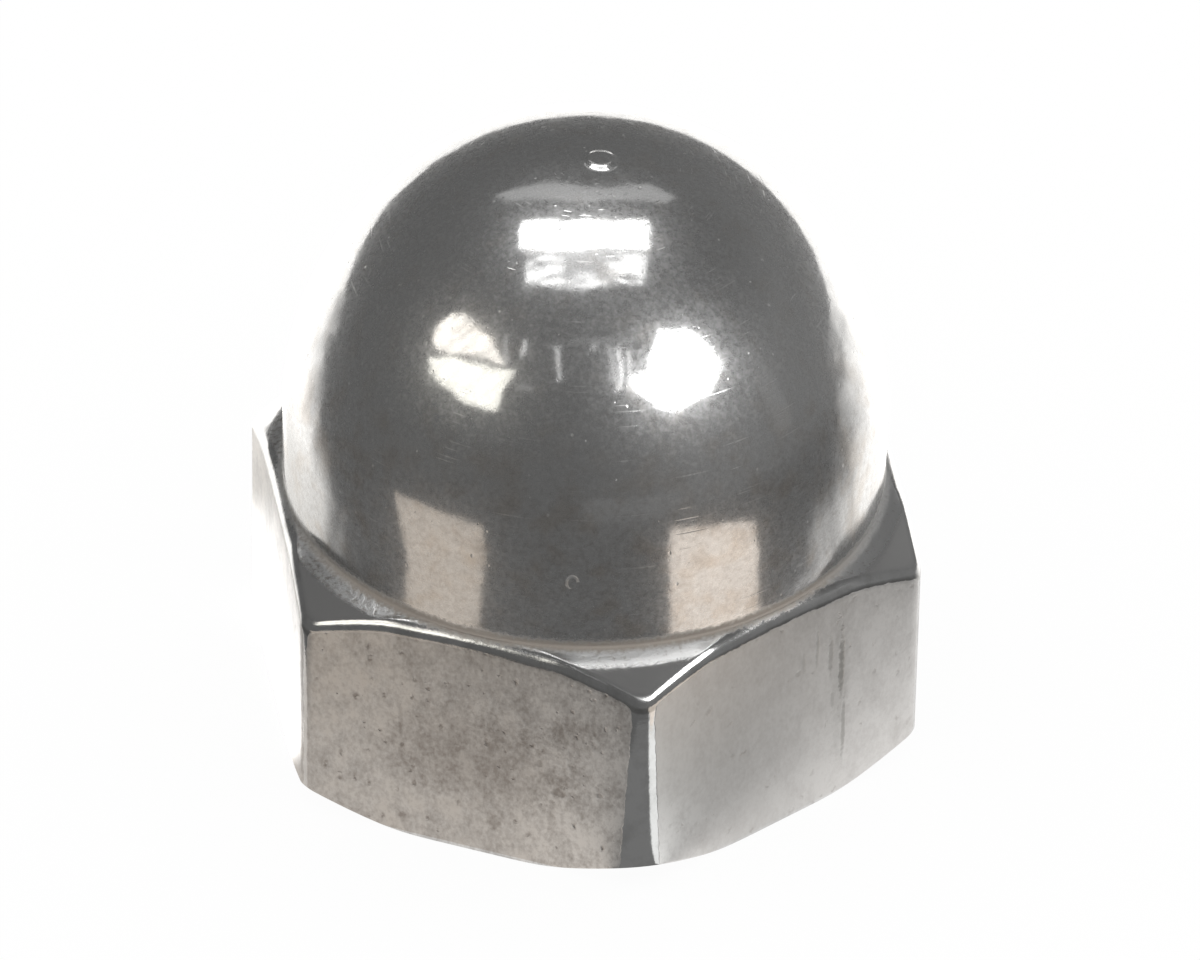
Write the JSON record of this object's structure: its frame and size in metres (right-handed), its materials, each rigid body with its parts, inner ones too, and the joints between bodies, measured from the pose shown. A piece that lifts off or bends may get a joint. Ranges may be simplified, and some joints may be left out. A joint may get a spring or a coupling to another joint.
{
  "type": "cap nut",
  "caption": "Domed cap nut: a chamfered hexagon with a polished round dome over a blind tapped hole.",
  "frame": {"origin": "centre of the seat face, on the thread's axis", "axes": "+Z along the thread's axis towards the top of the dome; a corner of the hexagon points to -Y"},
  "size_m": [0.011, 0.0126, 0.0114],
  "materials": {
    "steel": "polished dome, duller hexagon with light handling marks"
  },
  "bodies": {
    "root": {"cap_nut": "steel"}
  },
  "joints": []
}
